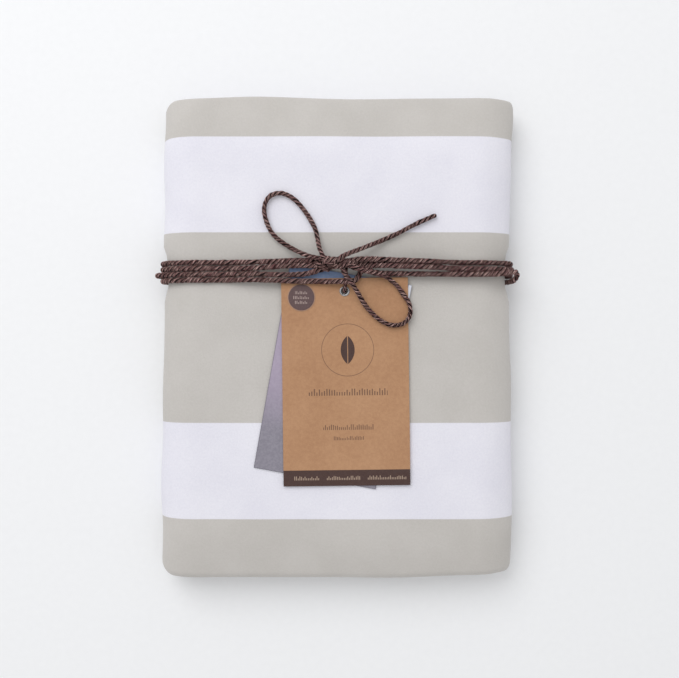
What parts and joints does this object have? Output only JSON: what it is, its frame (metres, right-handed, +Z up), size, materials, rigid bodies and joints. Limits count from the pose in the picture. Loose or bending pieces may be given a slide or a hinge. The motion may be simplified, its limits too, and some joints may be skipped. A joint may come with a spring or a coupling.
{
  "type": "folded beach towel",
  "caption": "Folded beach towel with broad grey and white stripes, bound with twisted brown cord tied in a bow, with a kraft hang tag and a printed card.",
  "frame": {"origin": "middle of the underside of the bundle, on the surface it lies on", "axes": "+X to the right across the bundle, +Y towards its top edge, +Z up out of the striped front face"},
  "size_m": [0.2078, 0.275, 0.0406],
  "materials": {
    "towel": "soft suede-like microfibre in broad grey and white stripes",
    "cord": "matte dark-brown twisted cord",
    "kraft_card": "uncoated kraft card with a dark printed band",
    "eyelet": "polished",
    "sticker": "matte printed paper with a pale rim",
    "printed_card": "satin printed card, blue fading to lilac and grey"
  },
  "bodies": {
    "towel_bundle": {"folded_towel": "towel", "cord_upper_turn": "cord", "cord_inner_turn": "cord", "cord_double_turn": "cord", "bow_knot": "cord", "tag_string": "cord"},
    "front_tag": {"front_tag_card": "kraft_card", "tag_eyelet": "eyelet", "round_sticker": "sticker"},
    "back_tag": {"back_card": "printed_card"},
    "upper_loop": {"bow_upper_loop": "cord"},
    "lower_loop": {"bow_lower_loop": "cord"},
    "free_end": {"cord_free_end": "cord"}
  },
  "joints": [
    {"name": "front_tag_swing", "type": "hinge", "parent": "towel_bundle", "child": "front_tag", "pos_m": [0.0044, 0.0259, 0.031], "axis": [0, 0, 1], "range_deg": [-12, 12]},
    {"name": "back_card_swing", "type": "hinge", "parent": "towel_bundle", "child": "back_tag", "pos_m": [0.0044, 0.0259, 0.0303], "axis": [0, 0, 1], "range_deg": [-8, 22]},
    {"name": "upper_loop_lift", "type": "hinge", "parent": "towel_bundle", "child": "upper_loop", "pos_m": [-0.00905, 0.04643, 0.03655], "axis": [0.7901, 0.613, 0], "range_deg": [0, 60]},
    {"name": "lower_loop_lift", "type": "hinge", "parent": "towel_bundle", "child": "lower_loop", "pos_m": [0.0067, 0.03545, 0.03915], "axis": [-1, 0, 0], "range_deg": [0, 60]},
    {"name": "free_end_lift", "type": "hinge", "parent": "towel_bundle", "child": "free_end", "pos_m": [0.0113, 0.04755, 0.03695], "axis": [0.4251, -0.9052, 0], "range_deg": [0, 60]}
  ]
}
